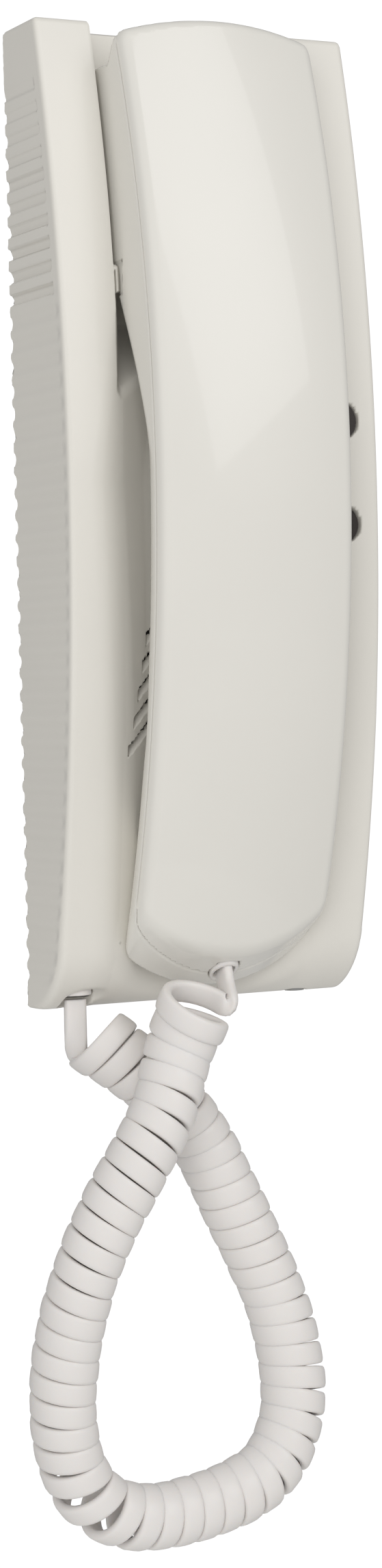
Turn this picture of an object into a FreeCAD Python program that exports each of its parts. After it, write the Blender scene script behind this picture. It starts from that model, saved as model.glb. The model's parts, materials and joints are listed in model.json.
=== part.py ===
import FreeCAD, Part
# Slimline wall phone: a ribbed wall base, a bowed handset hung upright in its channel, and the curly
# cord that joins them. Millimetres, +Z up, X to the right. The wall is the plane Y = 0 and the phone
# stands out of it towards -Y. The origin is on the wall, midway between the two wall screws.
# "depth" is a distance out from the wall, and "rise" a height above the lowest edge of the base.
import math
import os
from types import SimpleNamespace

import Sketcher
from FreeCAD import Placement, Rotation, Vector

SIZES = {
    # Base cover: its side view is one large arc, curled back to the wall at the foot.
    "base_width": 74.0,
    "base_height": 210.0,
    "wall_thick": 2.2,
    "bow_radius": 430.0,
    "bow_depth": 28.9,
    "bow_rise": 108.0,
    "brow_depth": 13.0,
    "brow_drop": 3.0,
    "brow_radius": 4.5,
    "curl_rise": 14.0,
    "curl_radius": 20.0,
    "foot_depth": 8.0,
    "corner_radius": 1.6,
    # Handset channel: a deep recess for the earpiece above, a shallow trough below it.
    "recess_half": 24.4,
    "recess_depth": 5.0,
    "recess_foot": 147.0,
    "ramp_foot": 138.0,
    "ramp_depth": 15.5,
    "trough_half": 26.8,
    "trough_floor_half": 18.0,
    "trough_floor": 19.2,
    "trough_rise": 95.0,
    "trough_top": 142.0,
    "skin": 2.0,
    # Ribs on both sides of the cover.
    "rib_pitch": 4.85,
    "rib_radius": 3.2,
    "rib_bite": 0.75,
    "rib_first": 6.0,
    # Louvre slots of the call loudspeaker.
    "slot_width": 2.1,
    "slot_pitch": 5.9,
    "slot_climb": 10.5,
    "slot_reach": 22.4,
    "slot_inner": 12.5,
    "slot_rise": 54.0,
    # Push buttons on the right cheek.
    "button_radius": 3.8,
    "button_gap": 0.3,
    "button_side": 28.3,
    "upper_rise": 125.4,
    "lower_rise": 103.0,
    "button_face": 28.0,
    "button_back": 19.6,
    # Wall plate.
    "plate_thick": 2.0,
    "plate_play": 0.4,
    "wall_screw_pitch": 60.0,
    "wall_screw_hole": 2.1,
    # Circuit board.
    "board_half": 33.0,
    "board_foot": 86.0,
    "board_head": 131.0,
    "board_depth": 5.0,
    "board_thick": 1.6,
    # Call loudspeaker.
    "speaker_rise": 70.0,
    "speaker_radius": 16.0,
    "speaker_back": 4.4,
    "speaker_front": 13.0,
    # Hook switch.
    "hook_pin_rise": 126.0,
    "hook_pin_depth": 11.5,
    "hook_pin_radius": 1.0,
    "hook_width": 7.0,
    # Handset: front and back shells part on a large cylinder, the seam.
    "handset_half": 23.5,
    "seam_radius": 295.0,
    "seam_depth": 40.5,
    "seam_rise": 114.0,
    "face_step": 3.0,
    "face_half": 20.8,
    "face_crown": 5.3,
    "shell_thick": 2.0,
    "earpiece_back": 9.0,
    "earpiece_head": 200.0,
    "earpiece_foot": 152.0,
    "handset_head": 209.0,
    "head_radius": 80.0,
    "mouth_back": 15.5,
    "mouth_head": 38.0,
    "chin_tilt": 33.0,
    "chin_depth": 27.7,
    "chin_rise": 11.4,
    "grip_back": 32.0,
    # Parts inside the handset.
    "receiver_rise": 178.0,
    "receiver_radius": 15.0,
    "microphone_rise": 24.0,
    "microphone_radius": 4.8,
    # Curly cord.
    "coil_radius": 7.2,
    "ribbon_radius": 2.3,
    "lead_side": -29.5,
    "lead_depth": 8.4,
}

doc = FreeCAD.newDocument("slimline_wall_phone")
sheet = doc.addObject("Spreadsheet::Sheet", "Dims")
for row, (alias, number) in enumerate(SIZES.items(), start=1):
    sheet.set(f"A{row}", alias)
    sheet.set(f"B{row}", str(number))
    sheet.setAlias(f"B{row}", alias)
doc.recompute()


class Size:
    """A number that remembers the spreadsheet expression it was worked out with."""

    def __init__(self, value, text):
        self.value = float(value)
        self.text = text

    def __add__(self, other):
        return merge(self, "+", other)

    def __radd__(self, other):
        return merge(other, "+", self)

    def __sub__(self, other):
        return merge(self, "-", other)

    def __rsub__(self, other):
        return merge(other, "-", self)

    def __mul__(self, other):
        return merge(self, "*", other)

    def __rmul__(self, other):
        return merge(other, "*", self)

    def __truediv__(self, other):
        return merge(self, "/", other)

    def __neg__(self):
        return merge(0.0, "-", self)


def sized(number):
    """Any plain number as a Size, so that both kinds mix freely."""
    if isinstance(number, Size):
        return number
    return Size(number, f"({float(number)!r})")


def merge(first, sign, second):
    first, second = sized(first), sized(second)
    values = {
        "+": first.value + second.value,
        "-": first.value - second.value,
        "*": first.value * second.value,
        "/": first.value / (second.value or 1.0),
    }
    return Size(values[sign], f"({first.text} {sign} {second.text})")


def sine(angle):
    return Size(math.sin(math.radians(angle.value)), f"sin({angle.text} * 1deg)")


def cosine(angle):
    return Size(math.cos(math.radians(angle.value)), f"cos({angle.text} * 1deg)")


D = SimpleNamespace(**{alias: Size(number, f"Dims.{alias}") for alias, number in SIZES.items()})
HALF_HEIGHT = D.base_height / 2
BEYOND = 60.0  # a depth well in front of the whole phone


# ---------------------------------------------------------------------------------------------
# Building helpers
# ---------------------------------------------------------------------------------------------

def bind(item, **sizes):
    """Set each named property of an object from a size, through the spreadsheet."""
    for key, size in sizes.items():
        item.setExpression(key, sized(size).text)
    return item


def place(item, x, depth, rise, turn=None):
    """Put an object at a side position, a depth and a rise, turned if need be."""
    if turn is not None:
        item.Placement = Placement(Vector(0, 0, 0), turn)
    item.setExpression("Placement.Base.x", sized(x).text)
    item.setExpression("Placement.Base.y", (-sized(depth)).text)
    item.setExpression("Placement.Base.z", (sized(rise) - HALF_HEIGHT).text)
    return item


def flat(role, corner):
    """A corner's two sketch coordinates on one of the three origin planes."""
    first, second = sized(corner[0]), sized(corner[1])
    if role == "YZ_Plane":
        return -first, second - HALF_HEIGHT
    if role == "XZ_Plane":
        return first, second - HALF_HEIGHT
    return first, -second


def arc_between(start, end, radius, side):
    """The arc from start to end with its centre to the left (side 1) or right (-1) of the chord."""
    chord = end - start
    middle = (start + end) * 0.5
    normal = Vector(-chord.y, chord.x, 0).normalize()
    reach = math.sqrt(radius ** 2 - (chord.Length / 2) ** 2)
    centre = middle + normal * (side * reach)
    first, last = (start, end) if side > 0 else (end, start)
    turn_on = math.atan2(first.y - centre.y, first.x - centre.x)
    turn_off = math.atan2(last.y - centre.y, last.x - centre.x)
    circle = Part.Circle(centre, Vector(0, 0, 1), radius)
    return Part.ArcOfCircle(circle, turn_on, turn_off if turn_off > turn_on else turn_off + 2 * math.pi)


def trace(drawing, role, corners, bends):
    """One closed outline, with every corner and arc radius bound to the sheet.

    bends gives, for the edge that leaves a corner, the arc's radius: positive where the edge
    bulges out of the outline, negative where it is hollow.
    """
    pairs = [flat(role, corner) for corner in corners]
    spots = [Vector(pair[0].value, pair[1].value, 0) for pair in pairs]
    count = len(spots)
    area = sum(spots[i].x * spots[(i + 1) % count].y - spots[(i + 1) % count].x * spots[i].y
               for i in range(count))
    ends = []
    for i in range(count):
        start, end = spots[i], spots[(i + 1) % count]
        if i in bends:
            bend = sized(bends[i])
            side = (1 if area > 0 else -1) * (1 if bend.value > 0 else -1)
            number = drawing.addGeometry(arc_between(start, end, abs(bend.value), side), False)
            ends.append((number, 1, 2) if side > 0 else (number, 2, 1))
            text = bend.text if bend.value > 0 else (-bend).text
            limit = drawing.addConstraint(Sketcher.Constraint("Radius", number, abs(bend.value)))
            drawing.setExpression(f"Constraints[{limit}]", text)
        else:
            number = drawing.addGeometry(Part.LineSegment(start, end), False)
            ends.append((number, 1, 2))
    for i in range(count):
        number, first, last = ends[i]
        following, head, _ = ends[(i + 1) % count]
        drawing.addConstraint(Sketcher.Constraint("Coincident", number, last, following, head))
        for kind, size in (("DistanceX", pairs[i][0]), ("DistanceY", pairs[i][1])):
            rule = Sketcher.Constraint(kind, -1, 1, number, first, size.value)
            drawing.setExpression(f"Constraints[{drawing.addConstraint(rule)}]", size.text)


def ring(drawing, role, centre, radius):
    """A circle bound to the sheet."""
    across, along = flat(role, centre)
    circle = Part.Circle(Vector(across.value, along.value, 0), Vector(0, 0, 1), sized(radius).value)
    number = drawing.addGeometry(circle, False)
    rules = [
        (Sketcher.Constraint("Radius", number, sized(radius).value), sized(radius)),
        (Sketcher.Constraint("DistanceX", -1, 1, number, 3, across.value), across),
        (Sketcher.Constraint("DistanceY", -1, 1, number, 3, along.value), along),
    ]
    for rule, size in rules:
        drawing.setExpression(f"Constraints[{drawing.addConstraint(rule)}]", size.text)


def sketch(body, name, role, start=0.0, tilt=None):
    """A sketch on one of the body's origin planes, lifted by start and tilted forward about its X."""
    drawing = body.newObject("Sketcher::SketchObject", name)
    plane = next(f for f in body.Origin.OriginFeatures if f.Role == role)
    drawing.AttachmentSupport = [(plane, "")]
    drawing.MapMode = "FlatFace"
    lift = sized(start)
    if tilt is not None:
        drawing.AttachmentOffset = Placement(Vector(0, 0, 0), Rotation(Vector(-1, 0, 0), tilt.value))
        drawing.setExpression("AttachmentOffset.Rotation.Angle", f"{tilt.text} * 1deg")
    drawing.setExpression("AttachmentOffset.Base.z", lift.text)
    return drawing


def prism(name, role, outlines, start, length, bends=None, rings=(), tilt=None):
    """A PartDesign body: one sketch of outlines or rings, padded along the plane's normal.

    The normals run to the right for YZ_Plane, out of the wall for XZ_Plane and up for XY_Plane.
    """
    body = doc.addObject("PartDesign::Body", name)
    lift = sized(start) - HALF_HEIGHT if role == "XY_Plane" else start
    drawing = sketch(body, name + "_sketch", role, lift, tilt)
    for number, outline in enumerate(outlines):
        trace(drawing, role, outline, (bends or {}) if number == 0 else {})
    for centre, radius in rings:
        ring(drawing, role, centre, radius)
    pad = body.newObject("PartDesign::Pad", name + "_pad")
    pad.Profile = drawing
    bind(pad, Length=length)
    body.Tip = pad
    doc.recompute()
    return body


def box(name, x, depth, rise):
    """A block between two side positions, two depths and two rises."""
    item = doc.addObject("Part::Box", name)
    bind(item, Length=sized(x[1]) - x[0], Width=sized(depth[1]) - depth[0], Height=sized(rise[1]) - rise[0])
    return place(item, x[0], depth[1], rise[0])


TURNS = {
    "up": Rotation(),
    "right": Rotation(Vector(0, 1, 0), 90),
    "out": Rotation(Vector(1, 0, 0), 90),
}


def rod(name, radius, length, x, depth, rise, along="out"):
    """A round bar that starts at a point and runs out of the wall, to the right or up."""
    item = doc.addObject("Part::Cylinder", name)
    bind(item, Radius=radius, Height=length)
    return place(item, x, depth, rise, TURNS[along])


def cone(name, radius, tip_radius, length, x, depth, rise, along="out"):
    item = doc.addObject("Part::Cone", name)
    bind(item, Radius1=radius, Radius2=tip_radius, Height=length)
    return place(item, x, depth, rise, TURNS[along])


def fuse(name, items):
    item = doc.addObject("Part::MultiFuse", name)
    item.Shapes = items
    return item


def common(name, items):
    item = doc.addObject("Part::MultiCommon", name)
    item.Shapes = items
    return item


def cut(name, base, tools):
    """The base less its tools, which are joined first."""
    item = doc.addObject("Part::Cut", name)
    item.Base = base
    item.Tool = tools[0] if len(tools) == 1 else fuse(name + "_tools", tools)
    return item


def group(name, items):
    """Separate identical solids that share one node."""
    item = doc.addObject("Part::Compound", name)
    item.Links = items
    return item


def revolve(name, outline, bends, centre_depth, centre_rise, half_angle):
    """A section drawn level with an axis across the phone, swept up and down about that axis."""
    drawing = doc.addObject("Sketcher::SketchObject", name + "_section")
    trace(drawing, "XY_Plane", outline, bends)
    place(drawing, 0, 0, centre_rise)
    item = doc.addObject("Part::Revolution", name)
    item.Source = drawing
    item.Axis = Vector(1, 0, 0)
    item.Symmetric = True
    item.Solid = True
    item.setExpression("Base.y", (-sized(centre_depth)).text)
    item.setExpression("Base.z", (sized(centre_rise) - HALF_HEIGHT).text)
    bind(item, Angle=half_angle * 2)
    return item


# ---------------------------------------------------------------------------------------------
# Base
# ---------------------------------------------------------------------------------------------

def side_view(inset):
    """The base's side view at an inset from its outer skin, and the radii of its arcs."""
    head = D.base_height - inset
    radius = D.bow_radius - inset
    brow_rise = D.base_height - D.brow_drop - inset * 0.8
    brow = bow_at(brow_rise.value, radius.value, inset)
    curl = bow_at(D.curl_rise.value, radius.value, inset)
    corners = [
        (-1.0 * inset / 2, inset),
        (-1.0 * inset / 2, head),
        (D.brow_depth - inset * 0.9, head),
        (brow, brow_rise),
        (curl, D.curl_rise),
        (D.foot_depth - inset * 0.5, inset),
    ]
    return corners, {2: D.brow_radius, 3: radius, 4: D.curl_radius - inset}


def bow_at(rise, radius, inset):
    """The depth of the bowed front at a rise, as a size measured back from its deepest point."""
    fall = radius - math.sqrt(radius ** 2 - (rise - SIZES["bow_rise"]) ** 2)
    return D.bow_depth - inset - fall


def build_base_cover():
    width = D.base_width
    outline, bends = side_view(0.0)
    block = prism("cover_block", "YZ_Plane", [outline], width / -2, width, bends)
    pad = block.Tip
    corners = doc.addObject("PartDesign::Fillet", "cover_corners")
    block.addObject(corners)
    corners.Base = (pad, front_edges(pad.Shape))
    bind(corners, Radius=D.corner_radius)
    block.Tip = corners

    outline, bends = side_view(D.wall_thick)
    inside = prism("cover_inside", "YZ_Plane", [outline], D.wall_thick - width / 2,
                   width - D.wall_thick * 2, bends)
    recess = recess_cutter("cover_recess", 0.0)
    trough = trough_cutter("cover_trough", 0.0)
    keep = [recess_cutter("cover_recess_wall", D.skin), trough_cutter("cover_trough_wall", D.skin)]
    hollow = cut("cover_hollow", inside, keep)
    shell = cut("cover_shell", cut("cover_front", block, [recess, trough]), [hollow])

    additions = [shell] + [button_guide(name, rise) for name, rise in BUTTONS] + cradle_tabs()
    openings = rib_grooves() + [louvre_slots(), hook_window(), cord_scoop()]
    openings += [rod(f"{name}_opening", D.button_radius + D.button_gap, 16.0, D.button_side, 15.0, rise)
                 for name, rise in BUTTONS]
    openings.append(rod("cover_screw_way", 1.5, 8.0, COVER_SCREW_SIDE, COVER_SCREW_DEPTH, -1.0, "up"))
    openings.append(rod("cover_screw_sink", 2.6, 2.3, COVER_SCREW_SIDE, COVER_SCREW_DEPTH, -1.0, "up"))
    return cut("base_cover", fuse("cover_with_guides", additions), openings)


def front_edges(shape):
    """The names of the two long edges down the front corners; the fillet follows them to the foot."""
    return [f"Edge{number}" for number, edge in enumerate(shape.Edges, start=1)
            if abs(edge.Length - SIZES["base_height"]) < 20.0 and edge.BoundBox.YLength > 5.0]


def recess_cutter(name, skin):
    """The space that the earpiece hangs in, grown by a skin."""
    corners = [
        (D.recess_depth - skin, D.base_height + 5.0 + skin),
        (D.recess_depth - skin, D.recess_foot - skin * 0.4),
        (D.ramp_depth - skin, D.ramp_foot - skin * 0.4),
        (BEYOND, D.ramp_foot - skin * 0.4),
        (BEYOND, D.base_height + 5.0 + skin),
    ]
    half = D.recess_half + skin
    return prism(name, "YZ_Plane", [corners], -half, half * 2)


def trough_cutter(name, skin):
    """The shallow trough behind the grip: a flat floor with sloping sides, swept along a bow."""
    half = D.trough_half + skin * 1.4
    floor_half = D.trough_floor_half + skin * 0.6
    floor = D.trough_floor - skin
    edge = D.bow_depth + 0.6
    outline = [(-half, edge), (-floor_half, floor), (floor_half, floor), (half, edge),
               (half, BEYOND), (-half, BEYOND)]
    swept = revolve(name + "_sweep", outline, {}, D.trough_floor - D.bow_radius, D.trough_rise, sized(18.0))
    limit = box(name + "_limit", (-half - 1.0, half + 1.0), (-20.0, BEYOND), (-20.0, D.trough_top - skin))
    return common(name, [swept, limit])


def rib_grooves():
    """Shallow round grooves across both sides of the cover, fading out towards the top."""
    grooves = []
    count = int((SIZES["base_height"] - 2 * SIZES["rib_first"]) / SIZES["rib_pitch"]) + 1
    faded = 11
    for number in range(count):
        bite = D.rib_bite * min(1.0, (count - number) / faded)
        rise = D.rib_first + D.rib_pitch * number
        for side in (-1, 1):
            x = (D.base_width / 2 + D.rib_radius - bite) * side
            reach = bow_at(rise.value, SIZES["bow_radius"], 0.0) - 3.5
            grooves.append(rod(f"rib_{number}_{'left' if side < 0 else 'right'}", D.rib_radius,
                               reach + 1.0, x, -1.0, rise))
    return grooves


def louvre_slots():
    """Five sloping slots each side, rising to the middle like a row of rafters."""
    outlines = []
    for number in range(5):
        foot = D.slot_rise + D.slot_pitch * number
        reach = D.slot_reach - number * 1.4
        for side in (-1, 1):
            outlines.append([
                (reach * side, foot),
                ((reach - D.slot_inner) * side, foot + D.slot_climb),
                ((reach - D.slot_inner) * side, foot + D.slot_climb + D.slot_width),
                (reach * side, foot + D.slot_width),
            ])
    return prism("louvre_slots", "XZ_Plane", outlines, 8.0, 25.0)


def hook_window():
    half = D.hook_width / 2 + 0.8
    return box("hook_window", (-half, half), (8.0, 26.0), (132.5, 144.5))


def cord_scoop():
    """The way out for the cord's lead, opened into a scoop at the foot."""
    lead = rod("cord_way", D.ribbon_radius + 1.3, 12.0, D.lead_side, D.lead_depth, -4.0, "up")
    scoop = doc.addObject("Part::Ellipsoid", "cord_scoop_hollow")
    bind(scoop, Radius1=3.4, Radius2=7.0, Radius3=8.0)
    place(scoop, D.lead_side + 1.5, D.lead_depth + 4.5, 0.0)
    return fuse("cord_scoop", [lead, scoop])


BUTTONS = [("upper_button", D.upper_rise), ("lower_button", D.lower_rise)]
COVER_SCREW_SIDE = 26.0
COVER_SCREW_DEPTH = 4.8


def button_guide(name, rise):
    return rod(f"{name}_guide", D.button_radius + 1.6, 7.4, D.button_side, D.button_back + 0.5, rise)


def cradle_tabs():
    """The small nibs on the channel's walls that locate the handset's notches."""
    tabs = []
    for side in (-1, 1):
        near, far = D.recess_half + 1.0, D.handset_half + 0.3
        low, high = (-near, -far) if side < 0 else (far, near)
        tabs.append(box(f"cradle_tab_{'left' if side < 0 else 'right'}", (low, high), (4.0, 25.0),
                        (151.5, 157.4)))
    return tabs


def build_wall_plate():
    half = D.base_width / 2 - D.wall_thick - D.plate_play
    low, high = D.wall_thick + D.plate_play, D.base_height - D.wall_thick - D.plate_play
    window = [(-9.0, 40.0), (9.0, 40.0), (9.0, 50.0), (-9.0, 50.0)]
    holes = [((0.0, HALF_HEIGHT + D.wall_screw_pitch / 2 * side), D.wall_screw_hole) for side in (-1, 1)]
    sheet_body = prism("wall_plate_sheet", "XZ_Plane",
                       [[(-half, low), (half, low), (half, high), (-half, high)], window],
                       0.0, D.plate_thick, rings=holes)
    posts = [rod(f"board_post_{number}", 2.6, D.board_depth - D.plate_thick + 0.5, x, D.plate_thick - 0.5,
                 rise) for number, (x, rise) in enumerate(BOARD_SCREWS)]
    boss = box("cover_screw_boss", (COVER_SCREW_SIDE - 4.0, COVER_SCREW_SIDE + 4.0), (1.5, 8.0), (5.0, 12.8))
    solid = fuse("wall_plate_solid", [sheet_body, boss] + posts)
    pilots = [rod(f"board_pilot_{number}", 1.0, 4.5, x, 1.0, rise)
              for number, (x, rise) in enumerate(BOARD_SCREWS)]
    pilots.append(rod("cover_pilot", 1.2, 7.0, COVER_SCREW_SIDE, COVER_SCREW_DEPTH, 4.0, "up"))
    return cut("wall_plate", solid, pilots)


def screw(name, x, depth, rise, along, shank, length, head, head_height):
    """A pan-head screw that starts at its head's outer face and runs along its axis."""
    if along == "up":
        parts = [rod(name + "_head", head, head_height, x, depth, rise, "up"),
                 rod(name + "_shank", shank, length + 0.1, x, depth, rise + head_height - 0.1, "up")]
        slot = box(name + "_slot", (x - head, x + head), (depth - 0.4, depth + 0.4), (rise - 1.0, rise + 0.5))
    else:
        parts = [rod(name + "_head", head, head_height, x, depth - head_height, rise),
                 rod(name + "_shank", shank, length + 0.1, x, depth - head_height - length, rise)]
        slot = box(name + "_slot", (x - head, x + head), (depth - 0.8, depth + 1.0), (rise - 0.4, rise + 0.4))
    return cut(name, fuse(name + "_solid", parts), [slot])


BOARD_SCREWS = [(-29.0, 90.0), (29.0, 90.0), (-29.0, 127.0), (20.0, 128.0)]


def build_board():
    corners = [(-D.board_half, D.board_foot), (D.board_half, D.board_foot),
               (D.board_half, D.board_head), (-D.board_half, D.board_head)]
    return prism("circuit_board", "XZ_Plane", [corners], D.board_depth, D.board_thick,
                 rings=[(spot, 1.3) for spot in BOARD_SCREWS])


def build_board_parts():
    front = D.board_depth + D.board_thick
    screws = [screw(f"board_screw_{number}", x, front + 1.4, rise, "in", 0.95, 4.0, 2.2, 1.4)
              for number, (x, rise) in enumerate(BOARD_SCREWS)]
    switches = []
    for name, rise in BUTTONS:
        body = box(f"{name}_switch_body", (D.button_side - 3.0, D.button_side + 3.0), (front, front + 3.6),
                   (rise - 3.0, rise + 3.0))
        plunger = rod(f"{name}_switch_plunger", 1.7, 0.8, D.button_side, front + 3.5, rise)
        switches.append(fuse(f"{name}_switch", [body, plunger]))
    capacitor = [rod("capacitor_can", 3.0, 6.0, -20.0, front, 97.0),
                 rod("capacitor_cap", 2.4, 0.4, -20.0, front + 5.9, 97.0)]
    core = box("transformer_core", (-9.0, 7.0), (front, front + 6.0), (91.0, 104.0))
    coil = box("transformer_coil", (-6.0, 4.0), (front + 0.6, front + 7.2), (89.5, 105.5))
    return [
        group("board_screws", screws),
        group("button_switches", switches),
        fuse("board_capacitor", capacitor),
        fuse("board_transformer", [core, coil]),
    ]


def build_terminals():
    ways = 4
    pitch = 7.0
    block = box("terminal_moulding", (-15.0, 15.0), (D.plate_thick, 8.4), (27.0, 36.0))
    wells = [rod(f"terminal_well_{way}", 2.2, 5.0, pitch * (way - 1.5), 4.6, 31.5) for way in range(ways)]
    mouths = [box(f"terminal_mouth_{way}", (pitch * (way - 1.5) - 1.6, pitch * (way - 1.5) + 1.6),
                  (3.0, 4.4), (34.0, 37.0)) for way in range(ways)]
    screws = [screw(f"terminal_screw_{way}", pitch * (way - 1.5), 7.4, 31.5, "in", 1.2, 1.2, 2.0, 1.4)
              for way in range(ways)]
    return [cut("terminal_block", block, wells + mouths), group("terminal_screws", screws)]


def build_speaker():
    rise, radius = D.speaker_rise, D.speaker_radius
    depth = D.speaker_front - D.speaker_back
    rim = rod("speaker_rim", radius, 2.4, 0.0, D.speaker_front - 2.4, rise)
    bowl = cone("speaker_bowl", radius * 0.5, radius * 0.93, depth - 4.0, 0.0, D.speaker_back + 1.7, rise)
    inner = cone("speaker_inner", radius * 0.44, radius * 0.86, depth - 4.0, 0.0, D.speaker_back + 2.9, rise)
    mouth = rod("speaker_mouth", radius * 0.88, 3.0, 0.0, D.speaker_front - 1.6, rise)
    frame = cut("call_speaker_frame", fuse("speaker_solid", [rim, bowl]), [inner, mouth])
    dome = cone("speaker_dome", radius * 0.2, radius * 0.78, 2.6, 0.0, D.speaker_front - 4.2, rise)
    dip = cone("speaker_dip", radius * 0.17, radius * 0.76, 2.6, 0.0, D.speaker_front - 3.8, rise)
    membrane = cut("call_speaker_cone", dome, [dip])
    magnet = rod("call_speaker_magnet", radius * 0.45, 1.6, 0.0, D.speaker_back, rise)
    return [frame, membrane, magnet]


def build_hook_switch():
    """A rocker on the board: its tip leans out through the ramp, its tail works a microswitch."""
    front = D.board_depth + D.board_thick
    half = D.hook_width / 2
    pin_depth, pin_rise = D.hook_pin_depth, D.hook_pin_rise
    ears = []
    for side in (-1, 1):
        low, high = (-half - 2.2, -half - 0.5) if side < 0 else (half + 0.5, half + 2.2)
        ears.append(box(f"hook_ear_{side + 1}", (low, high), (front, pin_depth + 2.2),
                        (pin_rise - 2.4, pin_rise + 2.4)))
    foot = box("hook_foot", (-half - 2.2, half + 2.2), (front, front + 1.2), (pin_rise - 2.4, pin_rise + 2.4))
    bracket = cut("hook_bracket", fuse("hook_bracket_solid", ears + [foot]),
                  [rod("hook_pin_way", D.hook_pin_radius, half * 2 + 6.0, -half - 3.0, pin_depth, pin_rise,
                       "right")])
    pin = rod("hook_pin", D.hook_pin_radius, half * 2 + 5.0, -half - 2.5, pin_depth, pin_rise, "right")
    arm = [
        (pin_depth - 1.9, pin_rise - 1.0), (pin_depth + 0.2, pin_rise - 10.0),
        (pin_depth + 1.8, pin_rise - 10.0), (pin_depth + 1.9, pin_rise + 1.0),
        (pin_depth + 2.8, 137.0), (19.2, 143.2), (17.6, 144.8), (pin_depth + 0.6, 138.6),
    ]
    lever = cut("hook_lever", prism("hook_lever_blade", "YZ_Plane", [arm], -half, half * 2),
                [rod("hook_lever_bore", D.hook_pin_radius + 0.06, half * 2 + 2.0, -half - 1.0, pin_depth,
                     pin_rise, "right")])
    case = box("microswitch_case", (-4.0, 4.0), (front, 8.6), (110.0, 120.0))
    stud = rod("microswitch_stud", 1.0, 0.6, 0.0, 8.5, 117.0)
    return [bracket, pin, lever, fuse("hook_microswitch", [case, stud])]


def build_button(name, rise):
    """A round cap in its guide, held by a flange, with a stem down to its switch."""
    cap = rod(f"{name}_cap", D.button_radius, D.button_face - D.button_back, D.button_side,
              D.button_back, rise)
    flange = rod(f"{name}_flange", D.button_radius + 1.1, 1.4, D.button_side, D.button_back - 1.3, rise)
    tip = D.board_depth + D.board_thick + 4.3 + 1.5
    stem = rod(f"{name}_stem", 1.4, D.button_back - tip, D.button_side, tip, rise)
    return fuse(name, [cap, flange, stem])


def build_cover_screw():
    return screw("cover_screw", COVER_SCREW_SIDE, COVER_SCREW_DEPTH, 0.1, "up", 1.15, 8.0, 2.4, 1.1)


def build_base_grommet():
    """The clamp that holds the cord's lead where it goes in."""
    radius = D.ribbon_radius + 1.1
    collar = rod("base_grommet_collar", radius + 1.0, 1.6, D.lead_side, D.lead_depth, 9.0, "up")
    sleeve = rod("base_grommet_sleeve", radius, 9.4, D.lead_side, D.lead_depth, 1.0, "up")
    return fuse("base_cord_grommet", [collar, sleeve])


# ---------------------------------------------------------------------------------------------
# Handset
# ---------------------------------------------------------------------------------------------

def handset_form(name, inset):
    """The handset's whole outer form, drawn in by an inset: side view, plan and crowned face."""
    half = D.handset_half - inset
    back = [
        (BEYOND, D.handset_head + 4.0),
        (D.earpiece_back + 18.0 + inset * 0.3, D.handset_head + 4.0),
        (D.earpiece_back + 17.0 + inset * 0.3, D.handset_head - 3.0 - inset),
        (D.earpiece_back + 13.0 + inset * 0.3, D.earpiece_head - inset),
        (D.earpiece_back + inset, D.earpiece_head - inset),
        (D.earpiece_back + inset, D.earpiece_foot + inset),
        (D.grip_back - 3.5 + inset, 140.0 + inset * 0.5),
        (D.grip_back + inset, 126.0),
        (D.grip_back + inset, 70.0),
        (D.grip_back - 9.0 + inset, D.mouth_head + 6.0),
        (D.mouth_back + inset, D.mouth_head - 4.0 - inset * 0.5),
        (D.mouth_back + inset, -10.0),
        (BEYOND, -10.0),
    ]
    side = prism(name + "_side", "YZ_Plane", [back], -half, half * 2, {6: 40.0, 8: 60.0})
    side = cut(name + "_slim", side, handset_bevels(name, inset))
    head = D.handset_head - inset
    shoulder = head - (D.head_radius.value - math.sqrt(D.head_radius.value ** 2 - half.value ** 2))
    corners = [(-half, -20.0), (half, -20.0), (half, shoulder), (-half, shoulder)]
    plan = prism(name + "_plan", "XZ_Plane", [corners], -5.0, 80.0, {2: D.head_radius - inset})
    return common(name, [side, plan, handset_foot(name, inset), handset_face(name, inset)])


def handset_bevels(name, inset):
    """The long slopes that narrow the back of the grip and mouthpiece, ending below the earpiece."""
    bevels = []
    shoulder = [(BEYOND, -20.0), (-5.0, -20.0), (-5.0, 147.0), (27.0, 147.0), (BEYOND, 86.0)]
    limit = prism(name + "_bevel_limit", "YZ_Plane", [shoulder], -40.0, 80.0)
    for side in (-1, 1):
        near, far = D.handset_half - inset, D.handset_half - inset - 8.0
        slope = [
            (near * side, D.seam_depth - 1.4 + inset * 0.4),
            (far * side, D.seam_depth - 16.0 + inset * 0.4),
            (far * side, D.seam_depth - 40.0),
            ((near + 8.0) * side, D.seam_depth - 40.0),
            ((near + 8.0) * side, D.seam_depth - 1.4 + inset * 0.4),
        ]
        sweep = revolve(f"{name}_bevel_{side + 1}", slope, {}, D.seam_depth - D.seam_radius, D.seam_rise,
                        sized(24.0))
        bevels.append(common(f"{name}_bevel_cut_{side + 1}", [sweep, limit]))
    return bevels


def handset_foot(name, inset):
    """The rounded lower end, padded along a slope so that the chin looks down and out."""
    tilt, behind = D.chin_tilt, 90.0
    low = (D.chin_rise - HALF_HEIGHT) * cosine(tilt) - (D.chin_depth + behind) * sine(tilt)
    low = low + HALF_HEIGHT + inset
    half = D.handset_half - inset
    corners = [
        (2.0 - half, low + 6.4), (half - 2.0, low + 6.4), (half, low + 9.8), (half, low + 260.0),
        (-half, low + 260.0), (-half, low + 9.8),
    ]
    return prism(name + "_foot", "XZ_Plane", [corners], -behind, 240.0,
                 {0: 39.0 - inset, 1: 3.6, 5: 3.6}, tilt=tilt)


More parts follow.
